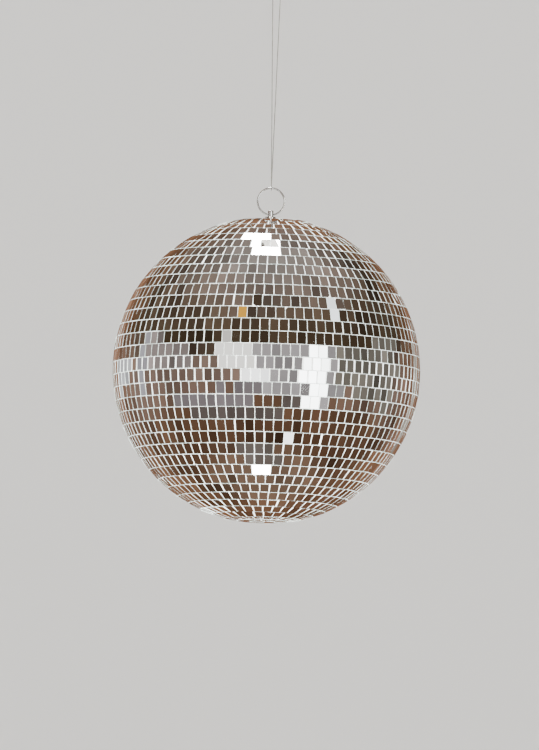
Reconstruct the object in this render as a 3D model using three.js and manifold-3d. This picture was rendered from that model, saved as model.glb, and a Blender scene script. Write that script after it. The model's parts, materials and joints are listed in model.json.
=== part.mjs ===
// A mirror ball hanging on a doubled nylon line from a ceiling hook.
// Millimetres, +Z up. The origin is the middle of the ceiling plate's top face,
// and the ball hangs straight below it.

import * as THREE from 'three';
import { mergeVertices } from 'three/addons/utils/BufferGeometryUtils.js';
import Module from 'manifold-3d';

const wasm = await Module();
wasm.setup();

// ---------------------------------------------------------------- dimensions

const TOUCH_GAP = 0.3; // between pieces that rest on each other

const BALL = {
  radius: 150, // over the mirror tiles
  flats: 28, // round every strip of tiles and round the core
  rows: 37, // strips of tiles from pole to pole
  tileThickness: 2,
  seam: 0.6, // between two strips
  topOpening: 5.6, // radius left free for the hanger
  poleDrop: 1.4, // how far the flattened poles lie inside the sphere
  poleAngle: THREE.MathUtils.degToRad(11.7), // where the flattening starts
};

const CORE = {
  depth: BALL.tileThickness + 0.5, // of its outside under the tile faces
  wall: 2.5,
  hangerHole: 4.6, // radius
  bandHeight: 24,
  bandWall: 2,
  bandInset: 1.8, // from the middle of the core's inside to the band's corners
};

const PIN = {
  radius: 2.7,
  holeHeight: 152.4, // of the cross hole over the ball's centre
  holeRadius: 1.7,
  topHeight: 156.6,
  headRadius: 5.5,
  headHeight: 3,
};

const BUSH = {
  bore: 2.8, // radius, for a running fit on the pin
  bodyRadius: 4.2,
  collarRadius: 5.2,
  collarTop: 150.5,
  collarBottom: 146.3,
  bottom: 135,
};

const WASHER = { radius: 6.5, thickness: 1.2 };

const SPLIT_RING = {
  outerRadius: 13.9,
  wireRadial: 1.6,
  turnThickness: 0.95,
  turnPitch: 1.05,
};
SPLIT_RING.radius = SPLIT_RING.outerRadius - SPLIT_RING.wireRadial / 2;

const HOOK = {
  wireRadius: 3.2,
  bendRadius: 9.5,
  throatDrop: 40, // from the ceiling to the wire's middle at the throat
  tipTurn: THREE.MathUtils.degToRad(-190), // round the throat's middle, from the back
  leaveTurn: THREE.MathUtils.degToRad(60), // where the wire bends back the other way
  top: -2.2,
};

const PLATE = {
  radius: 21,
  thickness: 3,
  edge: 1, // chamfer
  bossRadius: 7,
  bossHeight: 8,
  socketTop: -1.8,
  screwOffset: 14,
  screwSink: 0.1, // of the screw heads into the plate's face
};

const SCREW = { radius: 1.75, headRadius: 3.4, headHeight: 1.9, tipLength: 3, length: 16 };

const LINE = { radius: 0.4, drop: 198 }; // drop: hook wire to split ring wire
const KNOT = { radius: 1.4, x: -3.71, y: -0.1 };

// The line's route as one loop, opened at the knot: up from the knot, over the hook's
// wire, down to the split ring, under its wire from back to front, and up to the knot.
const LINE_ROUTE = [
  [-3.76, -0.07, -46.9],
  [-3.88, -0.01, -42.0],
  [-3.90, 0.00, -40.0],
  [-3.38, 0.00, -38.05],
  [-1.95, 0.00, -36.62],
  [0.00, 0.00, -36.10],
  [1.95, 0.00, -36.62],
  [3.38, 0.00, -38.05],
  [3.90, 0.00, -40.0],
  [3.86, 0.02, -42.0],
  [2.93, 0.50, -89.0],
  [1.95, 1.00, -139.0],
  [0.98, 1.50, -188.5],
  [0.10, 1.94, -233.0],
  [0.02, 2.00, -238.0],
  [0.00, 1.73, -239.0],
  [0.00, 1.00, -239.73],
  [0.00, 0.00, -240.0],
  [0.00, -1.00, -239.73],
  [0.00, -1.73, -239.0],
  [-0.02, -2.00, -238.0],
  [-0.10, -1.94, -233.0],
  [-0.98, -1.50, -188.5],
  [-1.95, -1.00, -139.0],
  [-2.93, -0.50, -89.0],
  [-3.66, -0.12, -51.4],
];

const ringTop = -(HOOK.throatDrop + LINE.drop);
const pinHole = ringTop - 2 * SPLIT_RING.radius;
const ballCentre = pinHole - PIN.holeHeight;

// ----------------------------------------------------------------- materials

const silveredGlass = { color: 0x6d625c, roughness: 0.08, metalness: 1 };
const corePlastic = { color: 0xd9d8d2, roughness: 0.6, metalness: 0 };
const nickel = { color: 0xd6d4cf, roughness: 0.2, metalness: 1 };
const zincSteel = { color: 0xb4b6b8, roughness: 0.35, metalness: 1 };
const nylon = { color: 0xe9e3da, roughness: 0.25, metalness: 0 };
const whiteEnamel = { color: 0xeeece6, roughness: 0.4, metalness: 0 };

// ------------------------------------------------------------------- helpers

function piece(name, geometry, look) {
  const mesh = new THREE.Mesh(geometry, new THREE.MeshStandardMaterial(look));
  mesh.name = name;
  return mesh;
}

// A solid turned about Z from [radius, height] points, listed anticlockwise.
function turned(points, flats) {
  const profile = points.map(([radius, height]) => new THREE.Vector2(radius, height));
  return new THREE.LatheGeometry(profile, flats).rotateX(Math.PI / 2);
}

// A turned solid with a hole through its middle: the outline closes on itself.
function turnedRing(points, flats) {
  return turned([...points, points[0]], flats);
}

function swept(section, path, steps) {
  return new THREE.ExtrudeGeometry(section, { steps, extrudePath: path, bevelEnabled: false });
}

function roundSection(radius, sides) {
  const corners = [];
  for (let i = 0; i < sides; i += 1) {
    const turn = (2 * Math.PI * i) / sides;
    corners.push(new THREE.Vector2(radius * Math.cos(turn), radius * Math.sin(turn)));
  }
  return new THREE.Shape(corners);
}

function toManifold(geometry) {
  const bare = geometry.clone();
  bare.deleteAttribute('normal');
  bare.deleteAttribute('uv');
  const weldDistance = 1e-4;
  const merged = mergeVertices(bare, weldDistance);
  const vertProperties = new Float32Array(merged.attributes.position.array);
  const triVerts = new Uint32Array(merged.index.array);
  return new wasm.Manifold(new wasm.Mesh({ numProp: 3, vertProperties, triVerts }));
}

function fromManifold(solid) {
  const { vertProperties, triVerts } = solid.getMesh();
  const geometry = new THREE.BufferGeometry();
  geometry.setAttribute('position', new THREE.BufferAttribute(vertProperties, 3));
  geometry.setIndex(new THREE.BufferAttribute(triVerts, 1));
  return geometry;
}

function cut(geometry, cutters) {
  let solid = toManifold(geometry);
  for (const cutter of cutters) {
    solid = solid.subtract(toManifold(cutter));
  }
  return fromManifold(solid);
}

// ------------------------------------------------------------ tiles and core

// A point of the ball's outside, moved in by depth: [radius, height] at an angle
// from the top. Near the poles the sphere gives way to a shallow cone.
function skinPoint(angle, depth) {
  const fromPole = Math.min(angle, Math.PI - angle);
  const side = angle < Math.PI / 2 ? 1 : -1;
  const radius = BALL.radius * Math.sin(fromPole);
  let height = BALL.radius * Math.cos(fromPole);
  if (fromPole < BALL.poleAngle) {
    const rimRadius = BALL.radius * Math.sin(BALL.poleAngle);
    const rimHeight = BALL.radius * Math.cos(BALL.poleAngle);
    const poleHeight = BALL.radius - BALL.poleDrop;
    height = poleHeight + ((rimHeight - poleHeight) * radius) / rimRadius;
  }
  const x = Math.max(0, radius - depth * Math.sin(fromPole));
  return [x, side * (height - depth * Math.cos(fromPole))];
}

function tileRow(index) {
  const start = Math.asin(BALL.topOpening / BALL.radius);
  const pitch = (Math.PI - start) / BALL.rows;
  const halfSeam = BALL.seam / 2 / BALL.radius;
  const last = index === BALL.rows - 1;
  const upper = start + pitch * index + halfSeam;
  const lower = last ? Math.PI : start + pitch * (index + 1) - halfSeam;
  const outline = [
    skinPoint(lower, BALL.tileThickness),
    skinPoint(lower, 0),
    skinPoint(upper, 0),
    skinPoint(upper, BALL.tileThickness),
  ];
  if (last) {
    // The strip at the bottom pole is a closed dish.
    const [insidePole, outsidePole, ...rim] = outline;
    return turned([outsidePole, ...rim, insidePole], BALL.flats);
  }
  return turnedRing(outline, BALL.flats);
}

function tileRows() {
  const rows = [];
  for (let i = 0; i < BALL.rows; i += 1) {
    const name = `mirror_row_${String(i + 1).padStart(2, '0')}`;
    rows.push(piece(name, tileRow(i), silveredGlass));
  }
  return rows;
}

// One half of the hollow core, from the angle of its upper edge to its lower one.
function coreShell(upper, lower) {
  const steps = 7;
  const outside = [];
  const inside = [];
  for (let i = 0; i <= steps; i += 1) {
    const angle = lower + ((upper - lower) * i) / steps;
    outside.push(skinPoint(angle, CORE.depth));
    inside.push(skinPoint(angle, CORE.depth + CORE.wall));
  }
  const outline = [...outside, ...inside.reverse()];
  return lower === Math.PI ? turned(outline, BALL.flats) : turnedRing(outline, BALL.flats);
}

function core() {
  const equator = Math.PI / 2;
  const halfGap = TOUCH_GAP / 2 / BALL.radius;
  const hole = Math.asin(CORE.hangerHole / (BALL.radius - CORE.depth));
  const bandRadius = BALL.radius - CORE.depth - CORE.wall - CORE.bandInset;
  const half = CORE.bandHeight / 2;
  const band = turnedRing([
    [bandRadius - CORE.bandWall, -half],
    [bandRadius, -half],
    [bandRadius, half],
    [bandRadius - CORE.bandWall, half],
  ], BALL.flats);
  return [
    piece('core_shell_upper', coreShell(hole, equator - halfGap), corePlastic),
    piece('core_shell_lower', coreShell(equator + halfGap, Math.PI), corePlastic),
    piece('core_joint_band', band, corePlastic),
  ];
}

// -------------------------------------------------------------------- hanger

// Measured from the ball's centre, as everything in the ball is.
function hanger() {
  const bushFlats = 24;
  const chamfer = 0.6;
  const threadRoom = 0.3;

  const plateTop = 143;
  const plateRim = 141.6;
  const plateRadius = 22;
  const plateThickness = 1.6;
  const backingPlate = turnedRing([
    [CORE.hangerHole, plateTop - plateThickness],
    [plateRadius, plateRim - plateThickness],
    [plateRadius, plateRim],
    [CORE.hangerHole, plateTop],
  ], BALL.flats);

  const bush = turnedRing([
    [BUSH.bore, BUSH.bottom],
    [BUSH.bodyRadius, BUSH.bottom],
    [BUSH.bodyRadius, BUSH.collarBottom],
    [BUSH.collarRadius, BUSH.collarBottom],
    [BUSH.collarRadius, BUSH.collarTop - chamfer],
    [BUSH.collarRadius - chamfer, BUSH.collarTop],
    [BUSH.bore, BUSH.collarTop],
  ], bushFlats);

  const nutHeight = 4.5;
  const nutAcrossFlats = 13;
  const nutTop = plateTop - plateThickness - TOUCH_GAP;
  const hexagon = roundSection(nutAcrossFlats / Math.sqrt(3), 6);
  hexagon.holes.push(roundSection(BUSH.bodyRadius + threadRoom, bushFlats));
  const nut = new THREE.ExtrudeGeometry(hexagon, { depth: nutHeight, bevelEnabled: false });
  nut.translate(0, 0, nutTop - nutHeight);

  const washerTop = BUSH.bottom - TOUCH_GAP;
  const washer = turnedRing([
    [PIN.radius + threadRoom, washerTop - WASHER.thickness],
    [WASHER.radius, washerTop - WASHER.thickness],
    [WASHER.radius, washerTop],
    [PIN.radius + threadRoom, washerTop],
  ], bushFlats);

  return [
    piece('backing_plate', backingPlate, zincSteel),
    piece('hanger_bush', bush, nickel),
    piece('bush_nut', nut, zincSteel),
    piece('thrust_washer', washer, zincSteel),
  ];
}

// The pin turns in the bush, and its cross hole takes the split ring.
function swivelPin() {
  const pinFlats = 24;
  const chamfer = 0.6;
  const headTop = BUSH.bottom - TOUCH_GAP - WASHER.thickness - TOUCH_GAP;
  const blank = turned([
    [0, headTop - PIN.headHeight],
    [PIN.headRadius, headTop - PIN.headHeight],
    [PIN.headRadius, headTop],
    [PIN.radius, headTop],
    [PIN.radius, PIN.topHeight - chamfer],
    [PIN.radius - chamfer, PIN.topHeight],
    [0, PIN.topHeight],
  ], pinFlats);
  const drillLength = 20;
  const drill = new THREE.CylinderGeometry(PIN.holeRadius, PIN.holeRadius, drillLength, pinFlats);
  drill.rotateZ(Math.PI / 2).translate(0, 0, PIN.holeHeight);
  return piece('swivel_pin', cut(blank, [drill]), nickel);
}

// ---------------------------------------------------------------- split ring

// Two turns side by side, with one step across where the wire passes itself.
class SplitRingWire extends THREE.Curve {
  getPoint(t, target = new THREE.Vector3()) {
    const stepHalf = 30;
    const degrees = THREE.MathUtils.lerp(stepHalf, 720 - stepHalf, t);
    const across = THREE.MathUtils.smoothstep(degrees, 360 - stepHalf, 360 + stepHalf) - 0.5;
    const turn = THREE.MathUtils.degToRad(degrees);
    return target.set(
      -SPLIT_RING.radius * Math.cos(turn),
      SPLIT_RING.turnPitch * across,
      SPLIT_RING.radius * Math.sin(turn),
    );
  }
}

function splitRing() {
  const x = SPLIT_RING.turnThickness / 2;
  const y = SPLIT_RING.wireRadial / 2;
  const section = new THREE.Shape([
    new THREE.Vector2(-x, -y),
    new THREE.Vector2(x, -y),
    new THREE.Vector2(x, y),
    new THREE.Vector2(-x, y),
  ]);
  return piece('split_ring', swept(section, new SplitRingWire(), 80), nickel);
}

// --------------------------------------------------------------------- line

const lineCurve = new THREE.CatmullRomCurve3(
  LINE_ROUTE.map(([x, y, z]) => new THREE.Vector3(x, y, z)),
  false,
  'centripetal',
);

// The part of the line between two places on its route. A place is a point's number,
// and a fraction says how far on to the next point it lies.
class LineStretch extends THREE.Curve {
  constructor(from, to) {
    super();
    this.from = from;
    this.to = to;
  }

  getPoint(t, target = new THREE.Vector3()) {
    const place = THREE.MathUtils.lerp(this.from, this.to, t);
    return lineCurve.getPoint(place / (LINE_ROUTE.length - 1), target);
  }
}

function line() {
  const section = roundSection(LINE.radius, 8);
  const offHook = 9; // the route's points where one stretch gives way to the next
  const ontoRing = 13;
  const offRing = 21;
  const end = LINE_ROUTE.length - 1;
  const gap = 0.007; // of a strand's span between two points: 0.3 mm
  const over = swept(section, new LineStretch(0, offHook), 16);
  const strandDown = swept(section, new LineStretch(offHook + gap, ontoRing - gap), 6);
  const under = swept(section, new LineStretch(ontoRing, offRing), 20);
  const strandUp = swept(section, new LineStretch(offRing + gap, end), 6);
  const knotLow = LINE_ROUTE[end][2] + TOUCH_GAP;
  const knotHigh = LINE_ROUTE[0][2] - TOUCH_GAP;
  const straight = knotHigh - knotLow - 2 * KNOT.radius;
  const knot = new THREE.CapsuleGeometry(KNOT.radius, straight, 3, 10);
  knot.rotateX(Math.PI / 2).translate(KNOT.x, KNOT.y, (knotLow + knotHigh) / 2);
  return [
    piece('line_over_hook', over, nylon),
    piece('line_strand_right', strandDown, nylon),
    piece('line_through_ring', under, nylon),
    piece('line_strand_left', strandUp, nylon),
    piece('line_knot', knot, nylon),
  ];
}

// ---------------------------------------------------------- hook and ceiling

// In the plane x = 0: from the tip in front, round the throat and up the back, then
// an equal bend the other way brings the wire back under the middle of the plate.
class HookWire extends THREE.Curve {
  getPoint(t, target = new THREE.Vector3()) {
    const bend = HOOK.bendRadius;
    const bendCentre = -HOOK.throatDrop + bend;
    const shankStart = bendCentre + 2 * bend * Math.sin(HOOK.leaveTurn);
    const around = bend * (HOOK.leaveTurn - HOOK.tipTurn);
    const back = bend * HOOK.leaveTurn;
    const total = around + back + (HOOK.top - shankStart);
    const run = t * total;
    if (run < around) {
      const angle = HOOK.tipTurn + run / bend;
      return target.set(0, bend * Math.cos(angle), bendCentre + bend * Math.sin(angle));
    }
    if (run < around + back) {
      const angle = HOOK.leaveTurn - (run - around) / bend;
      return target.set(0, bend * (1 - Math.cos(angle)), shankStart - bend * Math.sin(angle));
    }
    return target.set(0, 0, shankStart + run - around - back);
  }
}

function ceilingScrew(name, x) {
  const bottom = -PLATE.thickness + PLATE.screwSink;
  const geometry = turned([
    [0, bottom],
    [SCREW.headRadius, bottom],
    [SCREW.radius, bottom + SCREW.headHeight],
    [SCREW.radius, SCREW.length - SCREW.tipLength],
    [0, SCREW.length],
  ], 16);
  return piece(name, geometry.translate(x, 0, 0), zincSteel);
}

function ceilingPlate() {
  const under = -PLATE.thickness;
  const bossUnder = under - PLATE.bossHeight;
  const blank = turned([
    [0, bossUnder],
    [PLATE.bossRadius - PLATE.edge, bossUnder],
    [PLATE.bossRadius, bossUnder + PLATE.edge],
    [PLATE.bossRadius, under],
    [PLATE.radius - PLATE.edge, under],
    [PLATE.radius, under + PLATE.edge],
    [PLATE.radius, 0],
    [0, 0],
  ], 32);

  const socketRadius = HOOK.wireRadius + TOUCH_GAP;
  const socketLength = 20; // runs out below the boss
  const socket = new THREE.CylinderGeometry(socketRadius, socketRadius, socketLength, 24);
  socket.rotateX(Math.PI / 2).translate(0, 0, PLATE.socketTop - socketLength / 2);

  const cutters = [socket];
  const past = 1; // how far a screw hole's cutter reaches past both faces
  const headRadius = SCREW.headRadius + TOUCH_GAP;
  const shankRadius = SCREW.radius + TOUCH_GAP;
  const coneUnder = under + PLATE.screwSink;
  for (const x of [-PLATE.screwOffset, PLATE.screwOffset]) {
    const screwHole = turned([
      [0, under - past],
      [headRadius, under - past],
      [headRadius, coneUnder],
      [shankRadius, coneUnder + SCREW.headHeight],
      [shankRadius, past],
      [0, past],
    ], 16);
    cutters.push(screwHole.translate(x, 0, 0));
  }
  return piece('ceiling_plate', cut(blank, cutters), whiteEnamel);
}

function ceilingFitting() {
  const hookWire = swept(roundSection(HOOK.wireRadius, 12), new HookWire(), 30);
  return [
    ceilingPlate(),
    piece('ceiling_hook', hookWire, nickel),
    ceilingScrew('ceiling_screw_left', -PLATE.screwOffset),
    ceilingScrew('ceiling_screw_right', PLATE.screwOffset),
  ];
}

// ------------------------------------------------------------------ assembly

const ball = new THREE.Group();
ball.position.z = ballCentre;
ball.add(...tileRows(), ...core(), ...hanger(), swivelPin());

const ring = splitRing();
ring.position.z = ringTop - SPLIT_RING.radius;

const mirrorBall = new THREE.Group();
mirrorBall.add(...ceilingFitting(), ...line(), ring, ball);

export default mirrorBall;
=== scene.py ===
import json
import math
import random

import bmesh
import bpy
from mathutils import Matrix, Vector, noise


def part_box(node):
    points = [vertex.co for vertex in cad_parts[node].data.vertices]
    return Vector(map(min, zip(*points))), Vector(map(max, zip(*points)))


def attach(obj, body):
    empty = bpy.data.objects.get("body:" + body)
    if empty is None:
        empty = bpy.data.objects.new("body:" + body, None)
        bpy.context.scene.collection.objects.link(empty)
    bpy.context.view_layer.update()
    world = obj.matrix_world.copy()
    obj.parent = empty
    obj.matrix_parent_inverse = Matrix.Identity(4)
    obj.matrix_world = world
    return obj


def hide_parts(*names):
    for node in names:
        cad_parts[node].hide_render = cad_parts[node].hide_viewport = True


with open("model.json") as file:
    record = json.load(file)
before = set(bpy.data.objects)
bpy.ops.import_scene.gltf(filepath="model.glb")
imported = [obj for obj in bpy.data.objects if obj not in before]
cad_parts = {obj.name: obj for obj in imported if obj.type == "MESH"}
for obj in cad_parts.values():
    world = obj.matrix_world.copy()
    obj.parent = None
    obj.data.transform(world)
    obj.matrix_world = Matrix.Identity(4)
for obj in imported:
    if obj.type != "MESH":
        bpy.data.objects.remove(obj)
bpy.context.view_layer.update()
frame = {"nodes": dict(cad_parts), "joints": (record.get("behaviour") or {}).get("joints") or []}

# ------------------------------------------------------------------ dimensions
# Metres, +Z up, origin at the middle of the ceiling plate's top face.

MM = 0.001
JOINT = {joint["name"]: Vector(joint["pos_m"]) for joint in frame["joints"]}
HOOK_THROAT_CENTRE = JOINT["line_swing"]
RING_TOP = JOINT["ring_swing"]
PIN_HOLE = JOINT["ring_flop"]
BALL_CENTRE = JOINT["ball_spin"]

BALL_RADIUS = 150 * MM
ROWS = 37
ROW_SEAM = 0.2 * MM
TOP_OPENING = 5.6 * MM
POLE_DROP = 1.4 * MM
POLE_ANGLE = math.radians(11.7)

TILE_PITCH = 9.35 * MM  # along a row
TILE_THICKNESS = 2 * MM
TILE_GAP = 0.42 * MM  # between two tiles of a row, on average
TILE_TRIM = 0.2 * MM  # the most that a tile's upper or lower edge is cut short
OPEN_ROWS = {18: 3.0, 19: 2.6}  # rows with wider gaps, from the top, and how much wider
BED_DEPTH = 0.45 * MM  # of the adhesive's surface under the tile faces
TILE_SHARE_OF_WEDGE = 0.5  # how far a tile's sides follow the meridians
STRIP_PITCH = math.radians(0.9)  # how far off true a strip lies, as a standard deviation
STRIP_YAW = math.radians(0.5)
TILE_LEAN_PITCH = math.radians(0.45)  # and a tile within it
TILE_LEAN_YAW = math.radians(0.55)
TILE_TWIST = math.radians(0.35)
BADLY_PRESSED = 0.02  # share of the tiles
BADLY_PRESSED_LEAN = math.radians(3.5)
CHIPPED = 0.012
CRACKED = 0.0025
CRACKED_LEAN = math.radians(2)

RING_OUTER = 13.9 * MM
RING_WIRE_RADIAL = 1.6 * MM
RING_TURN_THICKNESS = 0.95 * MM
RING_TURN_PITCH = 1.05 * MM
RING_RADIUS = RING_OUTER - RING_WIRE_RADIAL / 2

PIN_RADIUS = 2.7 * MM
PIN_HOLE_RADIUS = 1.7 * MM
BUSH_BORE = 2.8 * MM
BUSH_BODY = 4.2 * MM
COLLAR_RADIUS = 5.2 * MM
COLLAR_HEIGHT = 4.2 * MM

HOOK_WIRE = 3.2 * MM
HOOK_BEND = 9.5 * MM
HOOK_THROAT = 40 * MM
HOOK_TIP_TURN = math.radians(-190)  # round the throat, from the side away from the tip
HOOK_LEAVE_TURN = math.radians(60)

PLATE_RADIUS = 21 * MM
PLATE_THICKNESS = 3 * MM
BOSS_RADIUS = 7 * MM
BOSS_HEIGHT = 8 * MM
SCREW_OFFSET = 14 * MM
SCREW_RADIUS = 1.75 * MM
SCREW_HEAD_RADIUS = 3.4 * MM
SCREW_HEAD_HEIGHT = 1.9 * MM
SCREW_LENGTH = 16 * MM

LINE_DIAMETER = 0.8 * MM

LINE_OFF_HOOK = 3.9 * MM  # from the middle of the hook's wire to the line's middle
LINE_OFF_RING = 2.0 * MM  # from the middle of the ring's two turns to the line's middle
KNOT_TOP = 6.9 * MM  # below the hook's wire
KNOT_LENGTH = 4.5 * MM
KNOT_TURNS = 4

# The view: from so far off that its lines are parallel, from a little below the ball, and with
# the ball's axis leaning to the right.
VIEW_HEIGHT = 0.7315  # of what the picture takes in
CAMERA_DISTANCE = 3.0
CAMERA_ELEVATION = -4.2  # degrees
CAMERA_ROLL = math.radians(1.55)
CAMERA_AIM_RIGHT = 3.1 * MM
CAMERA_AIM_DOWN = 4.1 * MM

FLOOR_DROP = 2.0  # under the origin


def direction(azimuth, elevation):
    """The unit vector towards a place seen from the ball, in degrees. Azimuth 0 is towards the
    camera and 90 is towards +X."""
    a = math.radians(azimuth)
    e = math.radians(elevation)
    return Vector((math.sin(a) * math.cos(e), -math.cos(a) * math.cos(e), math.sin(e)))


# ---------------------------------------------------------------------- camera


def make_camera():
    data = bpy.data.cameras.new("camera")
    data.type = "ORTHO"
    data.ortho_scale = VIEW_HEIGHT
    data.clip_end = 40
    camera = bpy.data.objects.new("camera", data)
    bpy.context.scene.collection.objects.link(camera)
    bpy.context.scene.camera = camera
    back = direction(0, CAMERA_ELEVATION)
    facing = back.to_track_quat("Z", "Y").to_matrix()
    aim = BALL_CENTRE + facing @ Vector((CAMERA_AIM_RIGHT, -CAMERA_AIM_DOWN, 0))
    turn = facing @ Matrix.Rotation(CAMERA_ROLL, 3, "Z")
    camera.matrix_world = Matrix.Translation(aim + back * CAMERA_DISTANCE) @ turn.to_4x4()


make_camera()

# ------------------------------------------------------------------- materials


def map_range(nodes, links, value, source, result):
    """Maps a node's value from the source pair to the result pair, held at both ends."""
    node = nodes.new("ShaderNodeMapRange")
    links.new(value, node.inputs["Value"])
    node.inputs["From Min"].default_value, node.inputs["From Max"].default_value = source
    node.inputs["To Min"].default_value, node.inputs["To Max"].default_value = result
    return node.outputs["Result"]


class Look:
    """A node material: its shader, and short ways to add patterns in the object's own space."""

    def __init__(self, name, colour, roughness, metallic=0.0):
        self.material = bpy.data.materials.new(name)
        self.material.use_nodes = True
        self.material.diffuse_color = (*colour, 1)
        self.nodes = self.material.node_tree.nodes
        self.links = self.material.node_tree.links
        self.shader = self.nodes["Principled BSDF"]
        self.shader.inputs["Base Color"].default_value = (*colour, 1)
        self.shader.inputs["Roughness"].default_value = roughness
        self.shader.inputs["Metallic"].default_value = metallic
        self.place = self.nodes.new("ShaderNodeTexCoord").outputs["Object"]

    def feed(self, value, socket):
        self.links.new(value, self.shader.inputs[socket])

    def noise(self, size, detail=3.0, stretch=(1, 1, 1)):
        """Noise from about 0.3 to 0.7, with blotches about size metres across."""
        scaled = self.nodes.new("ShaderNodeMapping")
        scaled.inputs["Scale"].default_value = [part / size for part in stretch]
        self.links.new(self.place, scaled.inputs["Vector"])
        pattern = self.nodes.new("ShaderNodeTexNoise")
        pattern.inputs["Scale"].default_value = 1
        pattern.inputs["Detail"].default_value = detail
        self.links.new(scaled.outputs["Vector"], pattern.inputs["Vector"])
        return pattern.outputs["Fac"]

    def per_tile(self):
        """A number from 0 to 1 that differs from one separate block of glass to the next."""
        return self.nodes.new("ShaderNodeNewGeometry").outputs["Random Per Island"]

    def spread(self, value, low, high, start=0.3, end=0.7):
        """Maps value from start..end to low..high, held at both ends."""
        return map_range(self.nodes, self.links, value, (start, end), (low, high))

    def times(self, first, second):
        node = self.nodes.new("ShaderNodeMath")
        node.operation = "MULTIPLY"
        self.links.new(first, node.inputs[0])
        self.links.new(second, node.inputs[1])
        return node.outputs["Value"]

    def blend(self, share, first, second):
        """A colour between two, which are colours or another pattern's output."""
        node = self.nodes.new("ShaderNodeMix")
        node.data_type = "RGBA"
        self.links.new(share, node.inputs["Factor"])
        for socket, colour in ((node.inputs[6], first), (node.inputs[7], second)):
            if isinstance(colour, tuple):
                socket.default_value = (*colour, 1)
            else:
                self.links.new(colour, socket)
        return node.outputs[2]

    def bump(self, height, distance, strength=1.0):
        node = self.nodes.new("ShaderNodeBump")
        node.inputs["Distance"].default_value = distance
        node.inputs["Strength"].default_value = strength
        self.links.new(height, node.inputs["Height"])
        self.feed(node.outputs["Normal"], "Normal")


def mirror_look():
    look = Look("silvered_mirror", (0.84, 0.84, 0.83), 0.03, metallic=1.0)
    batch = look.blend(look.per_tile(), (0.78, 0.77, 0.75), (0.90, 0.90, 0.89))
    film = look.spread(look.noise(26 * MM, 4), 0.0, 0.35, start=0.45, end=0.75)
    look.feed(look.blend(film, batch, (0.66, 0.64, 0.61)), "Base Color")
    smears = look.times(look.noise(45 * MM, 2), look.noise(18 * MM, 1, (1, 1, 2)))
    look.feed(look.spread(smears, 0.004, 0.02, start=0.2, end=0.4), "Roughness")
    look.bump(look.noise(30 * MM, 0), 0.012 * MM)
    return look.material


def cut_edge_look():
    look = Look("cut_glass_edge", (0.80, 0.90, 0.87), 0.2, metallic=0.2)
    look.shader.inputs["IOR"].default_value = 1.52
    chips = look.noise(1.6 * MM, 3)
    chipped_glass = look.blend(look.spread(chips, 0, 1), (0.62, 0.74, 0.70), (0.96, 1.0, 0.99))
    # The edges' own colour is glass green. The large soft blotches that darken them in places are painted
    # shade, standing in for stretches of seam that catch less light.
    painted_edge_shade = look.spread(look.noise(34 * MM, 3), 0, 1, start=0.32, end=0.55)
    look.feed(look.blend(painted_edge_shade, (0.58, 0.66, 0.61), chipped_glass), "Base Color")
    look.feed(look.spread(look.noise(0.8 * MM, 2), 0.08, 0.35), "Roughness")
    look.bump(look.noise(0.7 * MM, 3), 0.05 * MM)
    return look.material


def tile_back_look():
    look = Look("mirror_backing_paint", (0.30, 0.31, 0.32), 0.7)
    look.feed(look.blend(look.noise(3 * MM, 3), (0.24, 0.25, 0.26), (0.38, 0.39, 0.40)), "Base Color")
    look.bump(look.noise(0.6 * MM, 2), 0.02 * MM)
    return look.material


def adhesive_look():
    look = Look("white_adhesive", (0.90, 0.90, 0.88), 0.65)
    # Painted shade: large soft blotches darken the white adhesive, standing in for stretches of seam that
    # catch less light.
    painted_seam_shade = look.spread(look.noise(28 * MM, 5), 0, 1, start=0.4, end=0.62)
    look.feed(look.blend(painted_seam_shade, (0.95, 0.97, 0.96), (0.68, 0.68, 0.64)), "Base Color")
    look.feed(look.spread(look.noise(3 * MM, 2), 0.5, 0.8), "Roughness")
    look.bump(look.noise(1.2 * MM, 3), 0.08 * MM)
    return look.material


def core_plastic_look():
    look = Look("moulded_core_plastic", (0.86, 0.85, 0.82), 0.55)
    mottle = look.noise(14 * MM, 3)
    look.feed(look.blend(mottle, (0.82, 0.81, 0.78), (0.90, 0.89, 0.86)), "Base Color")
    look.feed(look.spread(look.noise(2 * MM, 2), 0.45, 0.65), "Roughness")
    look.bump(look.noise(0.5 * MM, 2), 0.03 * MM)
    return look.material


def nickel_look():
    look = Look("bright_nickel", (0.72, 0.71, 0.69), 0.14, metallic=1.0)
    tarnish = look.spread(look.noise(8 * MM, 3), 0, 1, start=0.45, end=0.8)
    look.feed(look.blend(tarnish, (0.76, 0.75, 0.73), (0.56, 0.52, 0.45)), "Base Color")
    rubs = look.noise(0.8 * MM, 3, (1, 1, 6))
    look.feed(look.spread(rubs, 0.10, 0.2), "Roughness")
    look.bump(look.noise(0.8 * MM, 2), 0.002 * MM)
    return look.material


def zinc_look():
    look = Look("zinc_plated_steel", (0.66, 0.67, 0.68), 0.35, metallic=1.0)
    spangle = look.noise(1.5 * MM, 4)
    look.feed(look.blend(spangle, (0.56, 0.57, 0.60), (0.74, 0.75, 0.74)), "Base Color")
    look.feed(look.spread(look.noise(0.8 * MM, 3), 0.25, 0.48), "Roughness")
    look.bump(look.noise(0.4 * MM, 3), 0.01 * MM)
    return look.material


def nylon_look():
    look = Look("clear_nylon", (0.12, 0.11, 0.09), 0.25)
    look.shader.inputs["IOR"].default_value = 1.53
    look.shader.inputs["Transmission Weight"].default_value = 0.15
    haze = look.noise(5 * MM, 3, (1, 1, 0.3))
    look.feed(look.blend(haze, (0.07, 0.06, 0.05), (0.15, 0.14, 0.12)), "Base Color")
    look.feed(look.spread(look.noise(1.5 * MM, 2, (1, 1, 0.2)), 0.2, 0.35), "Roughness")
    look.bump(look.noise(0.6 * MM, 2, (1, 1, 0.1)), 0.01 * MM)
    return look.material


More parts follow.
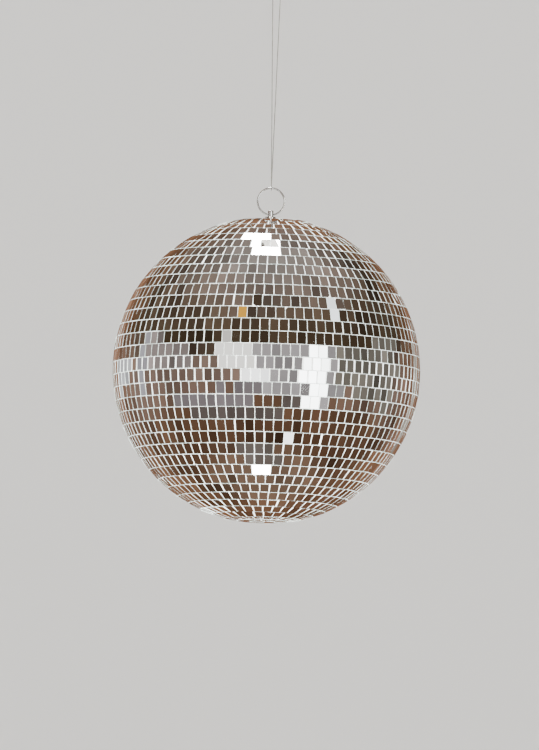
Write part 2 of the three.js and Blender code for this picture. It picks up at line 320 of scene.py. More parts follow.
def enamel_look():
    look = Look("white_enamel", (0.90, 0.89, 0.86), 0.35)
    look.shader.inputs["Coat Weight"].default_value = 0.3
    age = look.spread(look.noise(11 * MM, 4), 0, 1, start=0.4, end=0.75)
    look.feed(look.blend(age, (0.92, 0.91, 0.88), (0.84, 0.82, 0.77)), "Base Color")
    look.feed(look.spread(look.noise(4 * MM, 3), 0.26, 0.45), "Roughness")
    look.bump(look.noise(1.8 * MM, 2), 0.02 * MM)
    return look.material


MIRROR = mirror_look()
CUT_EDGE = cut_edge_look()
TILE_BACK = tile_back_look()
ADHESIVE = adhesive_look()
CORE_PLASTIC = core_plastic_look()
NICKEL = nickel_look()
ZINC = zinc_look()
NYLON = nylon_look()
ENAMEL = enamel_look()

# ---------------------------------------------------------------- mesh helpers


def mesh_object(name, corners, faces, materials, kinds=None):
    """A mesh object at the origin. kinds gives each face's place in materials."""
    data = bpy.data.meshes.new(name)
    data.from_pydata(corners, [], faces)
    for material in materials:
        data.materials.append(material)
    if kinds:
        data.polygons.foreach_set("material_index", kinds)
    data.update()
    made = bpy.data.objects.new(name, data)
    bpy.context.scene.collection.objects.link(made)
    return made


def smooth(made, sharp_over=35):
    made.data.shade_smooth()
    made.data.set_sharp_from_angle(angle=math.radians(sharp_over))


def rounded(outline, radius, steps=4):
    """An open outline of (x, y) points with its inner corners rounded off."""
    points = [Vector(point) for point in outline]
    result = [points[0]]
    for before, corner, after in zip(points, points[1:], points[2:]):
        back = before - corner
        on = after - corner
        cut = min(radius, back.length * 0.45, on.length * 0.45)
        first = corner + back.normalized() * cut
        last = corner + on.normalized() * cut
        for step in range(steps + 1):
            t = step / steps
            result.append(first * (1 - t) ** 2 + corner * 2 * t * (1 - t) + last * t * t)
    result.append(points[-1])
    return result


def turned(name, outline, material, centre=(0, 0, 0), sides=64, closed=False):
    """A solid turned about Z. The outline's points are (radius, height), listed from the bottom up
    on the outside, and start and end on the axis, or meet where closed."""
    middle = Vector(centre)
    corners = []
    rings = []
    for radius, height in outline:
        if radius < 1e-7:
            rings.append([len(corners)])
            corners.append(middle + Vector((0, 0, height)))
            continue
        rings.append(list(range(len(corners), len(corners) + sides)))
        for side in range(sides):
            turn = math.tau * side / sides
            corners.append(middle + Vector((radius * math.cos(turn), radius * math.sin(turn), height)))
    faces = []
    pairs = list(zip(rings, rings[1:]))
    if closed:
        pairs.append((rings[-1], rings[0]))
    for low, high in pairs:
        for side in range(sides):
            on = (side + 1) % sides
            if len(low) == 1:
                faces.append((low[0], high[on], high[side]))
            elif len(high) == 1:
                faces.append((low[side], low[on], high[0]))
            else:
                faces.append((low[side], low[on], high[on], high[side]))
    made = mesh_object(name, corners, faces, [material])
    smooth(made)
    return made


def swept(name, stations, section, material):
    """A solid along stations, each (middle, first axis, second axis), with flat ends."""
    corners = []
    for middle, first, second in stations:
        corners += [middle + first * x + second * y for x, y in section]
    size = len(section)
    faces = [tuple(reversed(range(size)))]
    for station in range(len(stations) - 1):
        for side in range(size):
            here = station * size
            on = (side + 1) % size
            faces.append((here + side, here + on, here + size + on, here + size + side))
    faces.append(tuple(range(len(corners) - size, len(corners))))
    made = mesh_object(name, corners, faces, [material])
    bm = bmesh.new()
    bm.from_mesh(made.data)
    bmesh.ops.recalc_face_normals(bm, faces=bm.faces)
    bm.to_mesh(made.data)
    bm.free()
    smooth(made, 50)
    return made


def circle(radius, sides):
    turns = [math.tau * side / sides for side in range(sides)]
    return [(radius * math.cos(turn), radius * math.sin(turn)) for turn in turns]


def along(points, scales=None):
    """Stations along points whose axes turn as little as they can."""
    stations = []
    side = None
    for number, point in enumerate(points):
        before = points[max(number - 1, 0)]
        after = points[min(number + 1, len(points) - 1)]
        ahead = (after - before).normalized()
        if side is None:
            side = ahead.orthogonal().normalized()
        side = (side - ahead * side.dot(ahead)).normalized()
        scale = scales[number] if scales else 1
        stations.append((point, side * scale, ahead.cross(side) * scale))
    return stations


def cut_away(made, cutters):
    """Takes the cutters out of a solid and removes them."""
    for cutter in cutters:
        cutting = made.modifiers.new("cut", "BOOLEAN")
        cutting.operation = "DIFFERENCE"
        cutting.solver = "EXACT"
        cutting.object = cutter
    bpy.context.view_layer.update()
    solved = made.evaluated_get(bpy.context.evaluated_depsgraph_get())
    result = bpy.data.meshes.new_from_object(solved)
    made.modifiers.clear()
    made.data = result
    for cutter in cutters:
        bpy.data.objects.remove(cutter)
    smooth(made)


def finish_piece(made, body, slot, *nodes):
    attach(made, body)
    if nodes:
        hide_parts(*nodes)


# ------------------------------------------------------------------------ line


def half_turn(centre, start, ahead, radius, steps=6):
    """Points half way round centre, from the start side to its other side by way of ahead."""
    turns = [math.pi * step / steps for step in range(steps + 1)]
    return [centre + (start * math.cos(turn) + ahead * math.sin(turn)) * radius for turn in turns]


def line_route():
    """The line's middle: up from the knot, over the hook's wire, down to the split ring, under its
    wire from back to front, and up to the knot again."""
    over = half_turn(HOOK_THROAT_CENTRE, Vector((-1, 0, 0)), Vector((0, 0, 1)), LINE_OFF_HOOK)
    under = half_turn(RING_TOP, Vector((0, 1, 0)), Vector((0, 0, -1)), LINE_OFF_RING)
    strand_length = HOOK_THROAT_CENTRE.z - RING_TOP.z
    knot_top = over[0].lerp(under[-1], KNOT_TOP / strand_length)
    knot_low = over[0].lerp(under[-1], (KNOT_TOP + KNOT_LENGTH) / strand_length)
    shares = (0.01, 0.25, 0.5, 0.75, 0.975)
    down = [over[-1].lerp(under[0], share) for share in shares]
    up = [under[-1].lerp(knot_low, share) for share in (0.03, 0.25, 0.5, 0.75, 1)]
    return [knot_top, knot_top.lerp(over[0], 0.7), *over, *down, *under, *up]


LINE_ROUTE = line_route()


def barrel_knot():
    """The line's two ends laid side by side, wrapped round, with both tails standing out."""
    wire = LINE_DIAMETER / 2
    low = LINE_ROUTE[-1]
    high = LINE_ROUTE[0]
    middle = (low + high) / 2
    pitch = LINE_DIAMETER * 1.02
    wrap = []
    for step in range(KNOT_TURNS * 20 + 1):
        turn = math.tau * step / 20
        height = pitch * (step / 20 - KNOT_TURNS / 2)
        across = Vector((math.cos(turn), math.sin(turn), 0)) * wire * 2.05
        wrap.append(middle + across + Vector((0, 0, height)))
    reach = pitch * KNOT_TURNS / 2
    tails = []
    for way, end in ((1, high), (-1, low)):
        root = middle - Vector((0, 0, way * reach * 0.6))
        rise = middle + Vector((wire * way, 0, way * reach * 0.9))
        out = rise + Vector((1.0, -0.5 * way, 0.8 * way)) * MM
        tails.append([root, middle, rise, out, out + Vector((0.9, -0.6 * way, 0.5 * way)) * MM])
        tails.append([middle + Vector((-wire * way, 0, 0)), end.lerp(middle, 0.3), end])
    made = None
    for number, path in enumerate([wrap, *tails]):
        tube = swept(f"knot_part_{number}", along(path), circle(wire, 10), NYLON)
        if made is None:
            made = tube
            made.name = "line_barrel_knot"
            continue
        join(made, tube)
    finish_piece(made, "line", "nylon_line", "line_knot")
    return made


def join(kept, added):
    """Adds a mesh object's solid to another's mesh."""
    bm = bmesh.new()
    bm.from_mesh(kept.data)
    bm.from_mesh(added.data)
    bm.to_mesh(kept.data)
    bm.free()
    bpy.data.objects.remove(added)


def nylon_line(knot):
    data = bpy.data.curves.new("nylon_monofilament", "CURVE")
    data.dimensions = "3D"
    data.bevel_depth = LINE_DIAMETER / 2
    data.bevel_resolution = 4
    data.resolution_u = 8
    data.use_fill_caps = True
    spline = data.splines.new("BEZIER")
    spline.bezier_points.add(len(LINE_ROUTE) - 1)
    for place, point in zip(spline.bezier_points, LINE_ROUTE):
        place.co = point
        place.handle_left_type = "AUTO"
        place.handle_right_type = "AUTO"
    data.materials.append(NYLON)
    made = bpy.data.objects.new("nylon_monofilament", data)
    bpy.context.scene.collection.objects.link(made)
    strands = ["line_over_hook", "line_strand_right", "line_through_ring", "line_strand_left"]
    finish_piece(made, "line", "nylon_line", *strands)


nylon_line(barrel_knot())

# ----------------------------------------------------------------- mirror tiles


def skin_point(angle, depth):
    """(radius, height) of the ball's outside at an angle from the top, moved in by depth."""
    from_pole = min(angle, math.pi - angle)
    side = 1 if angle < math.pi / 2 else -1
    radius = BALL_RADIUS * math.sin(from_pole)
    height = BALL_RADIUS * math.cos(from_pole)
    if from_pole < POLE_ANGLE:
        rim_radius = BALL_RADIUS * math.sin(POLE_ANGLE)
        rim_height = BALL_RADIUS * math.cos(POLE_ANGLE)
        pole_height = BALL_RADIUS - POLE_DROP
        height = pole_height + (rim_height - pole_height) * radius / rim_radius
    x = max(0.0, radius - depth * math.sin(from_pole))
    return x, side * (height - depth * math.cos(from_pole))


def row_angles(row):
    """The angles from the top at which a row's tiles start and end."""
    start = math.asin(TOP_OPENING / BALL_RADIUS)
    pitch = (math.pi - start) / ROWS
    half_seam = ROW_SEAM / 2 / BALL_RADIUS
    upper = start + pitch * row + half_seam
    if row == ROWS - 1:
        return upper, math.pi - 1.2 * MM / BALL_RADIUS
    return upper, start + pitch * (row + 1) - half_seam


def shrunk(outline, distance):
    """A convex anticlockwise outline with every side moved in by distance."""
    result = []
    count = len(outline)
    for number, corner in enumerate(outline):
        into = (corner - outline[number - 1]).normalized()
        out_of = (outline[(number + 1) % count] - corner).normalized()
        first = Vector((-into.y, into.x))
        second = Vector((-out_of.y, out_of.x))
        result.append(corner + (first + second) * (distance / (1 + first.dot(second))))
    return result


class TileMesh:
    """Gathers a row's tiles: face, ground edges and painted back of each block of glass."""

    PROFILE = [(0.1 * MM, 0.0), (0.03 * MM, 0.04 * MM), (0.0, 0.14 * MM), (0.04 * MM, TILE_THICKNESS)]
    FACE, EDGE, BACK = range(3)

    def __init__(self):
        self.corners = []
        self.faces = []
        self.kinds = []

    def add(self, outline, place):
        """outline lies in the tile's own plane, and place puts that plane on the ball."""
        size = len(outline)
        rings = []
        for inset, depth in self.PROFILE:
            rings.append(range(len(self.corners), len(self.corners) + size))
            for x, y in shrunk(outline, inset):
                self.corners.append(place @ Vector((x, y, -depth)))
        self.faces.append(tuple(rings[0]))
        self.kinds.append(self.FACE)
        for upper, lower in zip(rings, rings[1:]):
            for side in range(size):
                on = (side + 1) % size
                self.faces.append((upper[side], lower[side], lower[on], upper[on]))
                self.kinds.append(self.EDGE)
        self.faces.append(tuple(reversed(rings[-1])))
        self.kinds.append(self.BACK)


def chipped(outline, dice):
    """The outline with one corner broken off: the two points of a blunt corner move apart."""
    corner = 2 * dice.randrange(len(outline) // 2)
    result = list(outline)
    result[corner] = outline[corner].lerp(outline[corner - 1], dice.uniform(0.1, 0.25))
    following = outline[(corner + 2) % len(outline)]
    result[corner + 1] = outline[corner + 1].lerp(following, dice.uniform(0.1, 0.25))
    return result


def tile_outline(width_above, width_below, height, dice):
    """A hand-cut tile's face: x runs down the ball and y along the row. Its corners are blunt."""
    wobble = 0.06 * MM
    blunt = 0.3 * MM
    upper = -height / 2 + dice.uniform(0, TILE_TRIM)
    lower = height / 2 - dice.uniform(0, TILE_TRIM)
    square = []
    for x, width, side in ((upper, width_above, -1), (lower, width_below, -1),
                           (lower, width_below, 1), (upper, width_above, 1)):
        corner = Vector((x, side * width / 2))
        square.append(corner + Vector((dice.uniform(-wobble, wobble), dice.uniform(-wobble, wobble))))
    outline = []
    for number, corner in enumerate(square):
        before = (square[number - 1] - corner).normalized()
        after = (square[(number + 1) % 4] - corner).normalized()
        outline += [corner + before * blunt, corner + after * blunt * dice.uniform(0.5, 1.2)]
    return outline


def tile_row(row, dice):
    """Lays one row in short strips, as the tiles come on a backing, each strip a little off true."""
    upper, lower = row_angles(row)
    radius_above, height_above = skin_point(upper, 0)
    radius_below, height_below = skin_point(lower, 0)
    middle = (radius_above + radius_below) / 2
    count = max(7, round(math.tau * middle / TILE_PITCH))
    strips = []
    while sum(strips) < count:
        strips.append(min(dice.randint(5, 16), count - sum(strips)))
    gaps = []
    row_gap = TILE_GAP * OPEN_ROWS.get(row, dice.uniform(0.8, 1.25))
    for strip in strips:
        gaps += [row_gap * dice.uniform(0.7, 1.3) for _ in range(strip)]
        gaps[-1] += abs(dice.gauss(0, 0.4 * MM))
    tile_angle = (math.tau - sum(gaps) / middle) / count
    tiles = TileMesh()
    turn = dice.uniform(0, math.tau)
    number = 0
    for strip in strips:
        strip_pitch = dice.gauss(0, STRIP_PITCH)
        strip_yaw = dice.gauss(0, STRIP_YAW)
        for _ in range(strip):
            gap = gaps[number]
            mid_turn = turn + tile_angle / 2
            widths = [tile_angle * radius + gap * (radius / middle - 1)
                      for radius in (radius_above, radius_below)]
            narrow = min(widths)
            share = 1.0 if narrow < 0.75 * max(widths) else TILE_SHARE_OF_WEDGE
            widths = [narrow + (width - narrow) * share for width in widths]
            flat = math.cos(tile_angle / 2)
            lay_tile(
                tiles, dice, mid_turn, widths,
                (radius_above * flat, height_above), (radius_below * flat, height_below),
                strip_pitch, strip_yaw,
            )
            turn += tile_angle + gap / middle
            number += 1
    return tiles


def lay_tile(tiles, dice, turn, widths, above, below, strip_pitch, strip_yaw):
    """Lays one tile between two heights on the ball, a little off true, and now and then broken."""
    outward = Vector((math.cos(turn), math.sin(turn), 0))
    top = outward * above[0] + Vector((0, 0, above[1]))
    bottom = outward * below[0] + Vector((0, 0, below[1]))
    down = (bottom - top).normalized()
    beside = Vector((-math.sin(turn), math.cos(turn), 0))
    facing = Matrix((down, beside, down.cross(beside))).transposed()
    height = (bottom - top).length
    pitch = strip_pitch + dice.gauss(0, TILE_LEAN_PITCH)
    yaw = strip_yaw + dice.gauss(0, TILE_LEAN_YAW)
    if dice.random() < BADLY_PRESSED:
        pitch += dice.gauss(0, BADLY_PRESSED_LEAN)
        yaw += dice.gauss(0, BADLY_PRESSED_LEAN)
    outline = tile_outline(*widths, height, dice)
    chance = dice.random()
    if chance < CHIPPED:
        outline = chipped(outline, dice)
    outlines = [outline]
    if chance > 1 - CRACKED:  # from corner to corner
        outlines = [outline[0:5], outline[4:] + outline[:1]]
    for part in outlines:
        if len(outlines) > 1:
            pitch += dice.gauss(0, CRACKED_LEAN)
            yaw += dice.gauss(0, CRACKED_LEAN)
            part = shrunk(part, 0.02 * MM)
        lift = 0.15 * height * (abs(pitch) + abs(yaw))
        twist = Matrix.Rotation(dice.gauss(0, TILE_TWIST), 3, "Z")
        tilt = Matrix.Rotation(pitch, 3, "Y") @ Matrix.Rotation(yaw, 3, "X")
        turned_to = facing @ tilt @ twist
        place = Matrix.Translation(BALL_CENTRE + (top + bottom) / 2 + facing.col[2] * lift)
        tiles.add(part, place @ turned_to.to_4x4())


def mirror_rows():
    dice = random.Random(37)
    for row in range(ROWS):
        tiles = tile_row(row, dice)
        name = f"mirror_tiles_{row + 1:02d}"
        made = mesh_object(name, tiles.corners, tiles.faces, [MIRROR, CUT_EDGE, TILE_BACK], tiles.kinds)
        finish_piece(made, "ball", "mirror_tile", f"mirror_row_{row + 1:02d}")


def adhesive_bed():
    """The white adhesive that the tiles are pressed into, one closed skin under them all."""
    start = row_angles(0)[0]
    steps = 110
    sides = 180
    under_tiles = TILE_THICKNESS + 0.25 * MM
    outline = []
    for step in range(steps + 1):
        angle = math.pi + (start - math.pi) * step / steps
        outline.append(skin_point(angle, BED_DEPTH))
    for step in range(steps + 1):
        angle = start + (math.pi - start) * step / steps
        outline.append(skin_point(angle, under_tiles))
    made = turned("adhesive_bed", outline, ADHESIVE, BALL_CENTRE, sides)
    for vertex in made.data.vertices:
        from_centre = vertex.co - BALL_CENTRE
        if from_centre.length > BALL_RADIUS - POLE_DROP - BED_DEPTH - 0.3 * MM:
            rough = noise.noise(from_centre / (2.5 * MM))
            vertex.co += from_centre.normalized() * rough * 0.08 * MM
    finish_piece(made, "ball", "core_plastic")


mirror_rows()
adhesive_bed()

# -------------------------------------------------------------------- hanger


def hanger_bush():
    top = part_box("hanger_bush")[1].z
    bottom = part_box("hanger_bush")[0].z
    under_collar = top - COLLAR_HEIGHT
    edge = 0.5 * MM
    outline = [
        (BUSH_BORE, bottom),
        (BUSH_BODY, bottom),
        (BUSH_BODY, under_collar),
        (COLLAR_RADIUS, under_collar),
        (COLLAR_RADIUS, top - edge),
        (COLLAR_RADIUS - edge, top),
        (BUSH_BORE + edge / 2, top),
        (BUSH_BORE, top - edge / 2),
    ]
    made = turned("flanged_bush", rounded(outline, 0.3 * MM, 3), NICKEL, closed=True)
    finish_piece(made, "ball", "nickel_plate", "hanger_bush")


def swivel_pin():
    low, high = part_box("swivel_pin")
    head_radius = (high.x - low.x) / 2
    head_height = 3 * MM
    outline = [
        (0, low.z),
        (head_radius, low.z),
        (head_radius, low.z + head_height),
        (PIN_RADIUS, low.z + head_height),
        (PIN_RADIUS, high.z - 0.6 * MM),
        (PIN_RADIUS - 0.6 * MM, high.z),
        (0, high.z),
    ]
    made = turned("eyelet_pin", rounded(outline, 0.4 * MM, 4), NICKEL)
    reach = 10 * MM
    drill = turned("drill", [(0, -reach), (PIN_HOLE_RADIUS, -reach), (PIN_HOLE_RADIUS, reach), (0, reach)],
                   NICKEL, sides=40)
    drill.matrix_world = Matrix.Translation(PIN_HOLE) @ Matrix.Rotation(math.pi / 2, 4, "Y")
    cut_away(made, [drill])
    finish_piece(made, "swivel", "nickel_plate", "swivel_pin")


def rounded_bar(width, height, corner, steps=4):
    """The section of a bar with rounded edges."""
    section = []
    for quarter, (x, y) in enumerate(((1, 1), (-1, 1), (-1, -1), (1, -1))):
        for step in range(steps + 1):
            turn = math.pi / 2 * (quarter + step / steps)
            section.append((
                x * (width / 2 - corner) + corner * math.cos(turn),
                y * (height / 2 - corner) + corner * math.sin(turn),
            ))
    return section


def split_ring():
    """Two turns of spring wire side by side, with one step across where the wire passes itself."""
    centre = PIN_HOLE + Vector((0, 0, RING_RADIUS))
    step_half = 30
    steps = 264
    stations = []
    for step in range(steps + 1):
        degrees = step_half + (720 - 2 * step_half) * step / steps
        share = min(max((degrees - 360 + step_half) / (2 * step_half), 0), 1)
        across = share * share * (3 - 2 * share) - 0.5
        turn = math.radians(degrees)
        radial = Vector((-math.cos(turn), 0, math.sin(turn)))
        sideways = Vector((0, 1, 0))
        stations.append((centre + radial * RING_RADIUS + sideways * RING_TURN_PITCH * across,
                         radial, sideways))
    section = [(x * RING_WIRE_RADIAL / 2, y * RING_TURN_THICKNESS / 2) for x, y in circle(1, 20)]
    made = swept("key_ring", stations, section, NICKEL)
    finish_piece(made, "ring", "nickel_plate", "split_ring")


hanger_bush()
swivel_pin()
split_ring()

# ------------------------------------------------------------- hook and ceiling


def hook_path(run, shank_top):
    """A point of the hook's wire, run metres from its tip: round the throat, back under the plate's
    middle by an equal bend, and straight up."""
    bend_centre = -HOOK_THROAT + HOOK_BEND
    shank_start = bend_centre + 2 * HOOK_BEND * math.sin(HOOK_LEAVE_TURN)
    around = HOOK_BEND * (HOOK_LEAVE_TURN - HOOK_TIP_TURN)
    back = HOOK_BEND * HOOK_LEAVE_TURN
    if run < around:
        angle = HOOK_TIP_TURN + run / HOOK_BEND
        return Vector((0, HOOK_BEND * math.cos(angle), bend_centre + HOOK_BEND * math.sin(angle)))
    if run < around + back:
        angle = HOOK_LEAVE_TURN - (run - around) / HOOK_BEND
        return Vector((0, HOOK_BEND * (1 - math.cos(angle)), shank_start - HOOK_BEND * math.sin(angle)))
    return Vector((0, 0, min(shank_start + run - around - back, shank_top)))


def ceiling_hook():
    shank_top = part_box("ceiling_hook")[1].z
    length = HOOK_BEND * (2 * HOOK_LEAVE_TURN - HOOK_TIP_TURN)
    length += shank_top + HOOK_THROAT - HOOK_BEND * (1 + 2 * math.sin(HOOK_LEAVE_TURN))
    tip_steps = 7
    runs = [HOOK_WIRE * (1 - math.cos(math.pi / 2 * step / tip_steps)) for step in range(tip_steps)]
    scales = [max(0.04, math.sin(math.pi / 2 * step / tip_steps)) for step in range(tip_steps)]
    steps = 90
    for step in range(steps + 1):
        runs.append(HOOK_WIRE + (length - HOOK_WIRE) * step / steps)
        scales.append(1)
    stations = along([hook_path(run, shank_top) for run in runs], scales)
    made = swept("screw_hook", stations, circle(HOOK_WIRE, 28), NICKEL)
    finish_piece(made, "ceiling", "nickel_plate", "ceiling_hook")


def ceiling_plate():
    gap = 0.3 * MM
    under = -PLATE_THICKNESS
    outline = [
        (0, under - BOSS_HEIGHT),
        (BOSS_RADIUS, under - BOSS_HEIGHT),
        (BOSS_RADIUS, under),
        (PLATE_RADIUS, under),
        (PLATE_RADIUS, 0),
        (0, 0),
    ]
    made = turned("ceiling_rose", rounded(outline, 1.4 * MM, 5), ENAMEL, sides=96)
    socket_radius = HOOK_WIRE + gap
    socket_top = -1.8 * MM
    socket_low = -20 * MM
    socket = turned("socket", [(0, socket_low), (socket_radius, socket_low), (socket_radius, socket_top),
                               (0, socket_top)], ENAMEL, sides=40)
    cutters = [socket]
    for side in (-1, 1):
        head = SCREW_HEAD_RADIUS + gap
        shank = SCREW_RADIUS + gap
        low = under - 1 * MM
        cone = low + 1.1 * MM
        cutters.append(turned(
            "countersink",
            [(0, low), (head, low), (head, cone), (shank, cone + SCREW_HEAD_HEIGHT), (shank, 1 * MM),
             (0, 1 * MM)],
            ENAMEL, centre=(side * SCREW_OFFSET, 0, 0), sides=32,
        ))
    cut_away(made, cutters)
    finish_piece(made, "ceiling", "white_enamel", "ceiling_plate")


def thread_radius(height, turn, head_top):
    """The screw's radius at a height and a turn: plain under the head, then threaded to a point."""
    pitch = 1.3 * MM
    depth = 0.42 * MM
    start = head_top + 2 * MM
    taper = min(1.0, (SCREW_LENGTH - height) / (3 * MM))
    if height < start:
        return SCREW_RADIUS
    place = (height / pitch - turn / math.tau) % 1
    crest = 1 - abs(2 * place - 1)
    grown = min(1.0, (height - start) / pitch)
    return max(0.02 * MM, (SCREW_RADIUS - depth * grown * (1 - crest ** 1.5)) * taper)


def ceiling_screw(name, side):
    """A countersunk wood screw with a cross recess."""
    bottom = -PLATE_THICKNESS + 0.1 * MM
    head_top = bottom + SCREW_HEAD_HEIGHT
    sides = 24
    outline = [(0, bottom), (SCREW_HEAD_RADIUS - 0.15 * MM, bottom),
               (SCREW_HEAD_RADIUS, bottom + 0.15 * MM), (SCREW_RADIUS, head_top)]
    steps = 90
    for step in range(1, steps):
        outline.append((SCREW_RADIUS, head_top + (SCREW_LENGTH - head_top) * step / steps))
    outline.append((0, SCREW_LENGTH))
    made = turned(name, outline, ZINC, sides=sides)
    for vertex in made.data.vertices:
        if vertex.co.z > head_top + 1e-6 and vertex.co.xy.length > 1e-6:
            turn = math.atan2(vertex.co.y, vertex.co.x) % math.tau
            across = vertex.co.xy.normalized() * thread_radius(vertex.co.z, turn, head_top)
            vertex.co.x = across.x
            vertex.co.y = across.y
    cutters = []
    for turn in (0, math.pi / 2):
        blade = rounded_bar(3.6 * MM, 0.75 * MM, 0.1 * MM, 2)
        down = Vector((0, 0, bottom - 0.5 * MM))
        up = Vector((0, 0, bottom + 1.1 * MM))
        first = Vector((math.cos(turn), math.sin(turn), 0))
        second = Vector((-math.sin(turn), math.cos(turn), 0))
        ends = [(down, first, second), (up, first * 0.6, second * 0.8)]
        cutters.append(swept("recess", ends, blade, ZINC))
    cut_away(made, cutters)
    made.data.transform(Matrix.Translation((side * SCREW_OFFSET, 0, 0)))
    finish_piece(made, "ceiling", "zinc_steel", name.replace("wood_screw", "ceiling_screw"))


ceiling_hook()
ceiling_plate()
ceiling_screw("wood_screw_left", -1)
ceiling_screw("wood_screw_right", 1)

# --------------------------------------------------- CAD nodes that stay as they are

KEPT_NODES = {
    "core_shell_upper": CORE_PLASTIC,
    "core_shell_lower": CORE_PLASTIC,
    "core_joint_band": CORE_PLASTIC,
    "backing_plate": ZINC,
    "bush_nut": ZINC,
    "thrust_washer": ZINC,
}


def dress_kept_nodes():
    for name, material in KEPT_NODES.items():
        slots = frame["nodes"][name].material_slots
        for slot in slots:
            slot.material = material


dress_kept_nodes()

# ---------------------------------------------------------------- studio and room


def only_in_reflections(made):
    made.visible_camera = False
    made.visible_diffuse = False
    made.visible_transmission = False
    made.visible_shadow = False


def studio_floor():
    """A pale floor that sweeps up all round into a plain pale backdrop, far off."""
    flat = 7.0
    bend = 3.5
    top = 9.0
    outline = [(flat * step / 6, -FLOOR_DROP) for step in range(7)]
    for step in range(1, 25):
        turn = math.pi / 2 * step / 24
        outline.append((flat + bend * math.sin(turn), -FLOOR_DROP + bend * (1 - math.cos(turn))))
    outline.append((flat + bend, top))
    look = Look("pale_studio_paint", (0.80, 0.79, 0.77), 0.8)
    look.feed(look.blend(look.noise(1.2, 3), (0.79, 0.78, 0.76), (0.82, 0.81, 0.79)), "Base Color")
    made = turned("studio_floor", outline, look.material, sides=128)
    made.data.set_sharp_from_angle(angle=math.pi)
    made.visible_glossy = False


class Glow:
    """An emitting material, whose pattern lies in the object's own space."""

    def __init__(self, name):
        self.material = bpy.data.materials.new(name)
        self.material.use_nodes = True
        self.nodes = self.material.node_tree.nodes
        self.links = self.material.node_tree.links
        self.nodes.remove(self.nodes["Principled BSDF"])
        self.light = self.nodes.new("ShaderNodeEmission")
        self.links.new(self.light.outputs["Emission"], self.nodes["Material Output"].inputs["Surface"])
        self.place = self.nodes.new("ShaderNodeTexCoord").outputs["Object"]

    def blotches(self, place, scale, weakest, strongest):
        """Makes the glow's strength vary in soft blotches."""
        pattern = self.nodes.new("ShaderNodeTexNoise")
        pattern.inputs["Scale"].default_value = scale
        pattern.inputs["Detail"].default_value = 4
        self.links.new(place, pattern.inputs["Vector"])
        level = map_range(self.nodes, self.links, pattern.outputs["Fac"], (0.3, 0.7), (weakest, strongest))
        self.links.new(level, self.light.inputs["Strength"])


def card_glow(name, colour, strength, mottle):
    glow = Glow(name)
    glow.light.inputs["Color"].default_value = (*colour, 1)
    glow.blotches(glow.place, 2, strength * (1 - mottle), strength * (1 + mottle))
    return glow.material


def card(name, azimuth, elevation, width, height, colour, strength, mottle=0.2, distance=5.0):
    """A glowing sheet that only reflections show. Its place and size are in degrees, as seen from the
    ball."""
    towards = direction(azimuth, elevation)
    half_width = distance * math.tan(math.radians(width / 2))
    half_height = distance * math.tan(math.radians(height / 2))
    corners = [(-half_width, -half_height, 0), (half_width, -half_height, 0),
               (half_width, half_height, 0), (-half_width, half_height, 0)]
    made = mesh_object(name, corners, [(0, 1, 2, 3)], [card_glow(name, colour, strength, mottle)])
    facing = (-towards).to_track_quat("Z", "Y").to_matrix().to_4x4()
    made.matrix_world = Matrix.Translation(BALL_CENTRE + towards * distance) @ facing
    only_in_reflections(made)


def room():
    """The dim brown room that the mirrors show: a sphere that only reflections see."""
    radius = 14.0
    bm = bmesh.new()
    bmesh.ops.create_uvsphere(bm, u_segments=64, v_segments=32, radius=radius)
    data = bpy.data.meshes.new("room")
    bm.to_mesh(data)
    bm.free()
    made = bpy.data.objects.new("room", data)
    bpy.context.scene.collection.objects.link(made)
    made.location = BALL_CENTRE
    data.materials.append(room_glow(radius))
    only_in_reflections(made)


ROOM_TONES = [  # from straight down, through level at 0.5, to straight up
    (0.00, (0.20, 0.13, 0.09)),
    (0.10, (0.10, 0.052, 0.030)),
    (0.27, (0.11, 0.060, 0.036)),
    (0.42, (0.19, 0.13, 0.105)),
    (0.54, (0.17, 0.12, 0.095)),
    (0.63, (0.050, 0.034, 0.020)),
    (0.80, (0.090, 0.062, 0.042)),
    (0.93, (0.20, 0.155, 0.13)),
    (1.00, (0.27, 0.24, 0.22)),
]
WALL_TONE = (0.27, 0.125, 0.068)  # of the wall behind the ball


def room_tone(glow, height):
    """The room's colour at a height from -1 to 1."""
    tone = glow.nodes.new("ShaderNodeValToRGB")
    ramp = tone.color_ramp
    for element, (share, colour) in zip(ramp.elements, (ROOM_TONES[0], ROOM_TONES[-1])):
        element.position = share
        element.color = (*colour, 1)
    for share, colour in ROOM_TONES[1:-1]:
        ramp.elements.new(share).color = (*colour, 1)
    glow.links.new(map_range(glow.nodes, glow.links, height, (-1, 1), (0, 1)), tone.inputs["Fac"])
    return tone.outputs["Color"]


def room_glow(radius):
    glow = Glow("room_glow")
    unit = glow.nodes.new("ShaderNodeVectorMath")
    unit.operation = "SCALE"
    unit.inputs["Scale"].default_value = 1 / radius
    glow.links.new(glow.place, unit.inputs[0])
    axes = glow.nodes.new("ShaderNodeSeparateXYZ")
    glow.links.new(unit.outputs["Vector"], axes.inputs["Vector"])
    wall = glow.nodes.new("ShaderNodeMix")
    wall.data_type = "RGBA"
    wall.inputs[7].default_value = (*WALL_TONE, 1)
    behind = map_range(glow.nodes, glow.links, axes.outputs["Y"], (0.45, 0.95), (0, 0.7))
    glow.links.new(behind, wall.inputs["Factor"])
    glow.links.new(room_tone(glow, axes.outputs["Z"]), wall.inputs[6])
    glow.links.new(wall.outputs[2], glow.light.inputs["Color"])
    glow.blotches(unit.outputs["Vector"], 3, 0.5, 2.1)
    return glow.material


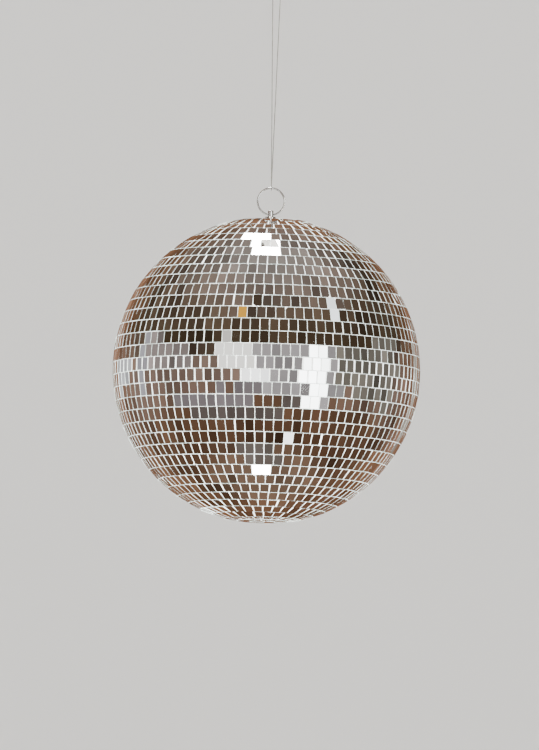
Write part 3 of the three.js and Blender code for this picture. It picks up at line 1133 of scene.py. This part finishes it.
def area_light(name, azimuth, elevation, distance, size, energy, reflected=False, shape="RECTANGLE"):
    """A soft lamp facing the ball, size metres wide and high."""
    data = bpy.data.lights.new(name, "AREA")
    data.shape = shape
    data.size, data.size_y = size
    data.energy = energy
    made = bpy.data.objects.new(name, data)
    bpy.context.scene.collection.objects.link(made)
    towards = direction(azimuth, elevation)
    made.matrix_world = Matrix.Translation(BALL_CENTRE + towards * distance) @ (
        towards.to_track_quat("Z", "Y").to_matrix().to_4x4())
    made.visible_glossy = reflected


def studio():
    studio_floor()
    room()
    world = bpy.data.worlds.new("studio")
    bpy.context.scene.world = world
    world.use_nodes = True
    world.node_tree.nodes["Background"].inputs["Color"].default_value = (0.86, 0.86, 0.85, 1)
    world.node_tree.nodes["Background"].inputs["Strength"].default_value = 0.9
    area_light("key", -35, 38, 4.5, (2.6, 2.6), 520)
    area_light("fill", 55, 12, 4.5, (2.6, 2.6), 300)
    area_light("left_fill", -85, 10, 4.5, (2.6, 2.6), 220)
    area_light("back_key", 150, 35, 4.5, (2.6, 2.6), 420)
    area_light("low_fill", 10, -60, 1.5, (1.4, 1.4), 70)
    area_light("overhead", -168, 72, 2.6, (0.5, 1.2), 170, reflected=True)
    area_light("underlight", -9, -79, 1.1, (0.17, 0.28), 5, reflected=True, shape="ELLIPSE")

    card("window_right", 37, -6, 17, 48, (0.94, 0.98, 1.0), 9)
    card("blind_left", -25, 7, 26, 19, (1.0, 0.99, 0.95), 1.8, 0.1)
    card("table_centre", -4, -7, 26, 9, (0.96, 0.98, 1.0), 3.0, 0.3)
    card("grey_wall", 20, -3, 84, 44, (0.50, 0.47, 0.48), 0.95, 0.6, distance=5.6)
    card("floor_strip", -34, -25, 84, 9, (0.50, 0.44, 0.46), 0.55, 0.3, distance=5.3)
    card("floor_shade", -16, -36, 128, 10, (0.50, 0.41, 0.37), 0.3, 0.3, distance=5.3)
    card("floor_glow", -9, -67, 22, 12, (0.62, 0.52, 0.46), 0.3, 0.5, distance=5.5)
    card("shelf_left", -84, 8, 44, 14, (0.52, 0.44, 0.42), 0.6, 0.7, distance=5.4)
    card("shelf_right", 86, 0, 60, 30, (0.50, 0.45, 0.38), 0.42, 0.7, distance=5.4)
    card("left_window", -107, 5, 8, 30, (0.84, 0.82, 0.90), 0.6, 0.3)
    card("yellow_lamp", -24.5, 40, 6, 6, (1.0, 0.50, 0.07), 1.1, 0.1)
    card("high_lamp", 62.5, 42, 8, 11, (0.9, 0.97, 1.0), 2.5, 0.1)
    card("lamp_shade", -30, 19.5, 7, 8, (1.0, 0.97, 0.92), 0.9, 0.1)
    card("low_lamp", 28.5, -54.5, 8, 9, (1.0, 1.0, 1.0), 4, 0.1)
    card("pale_door", 150, -1, 10, 24, (0.86, 0.74, 0.62), 0.5, 0.5)
    card("back_window", -136, 1, 24, 8, (0.90, 0.90, 0.95), 0.8, 0.3)


studio()
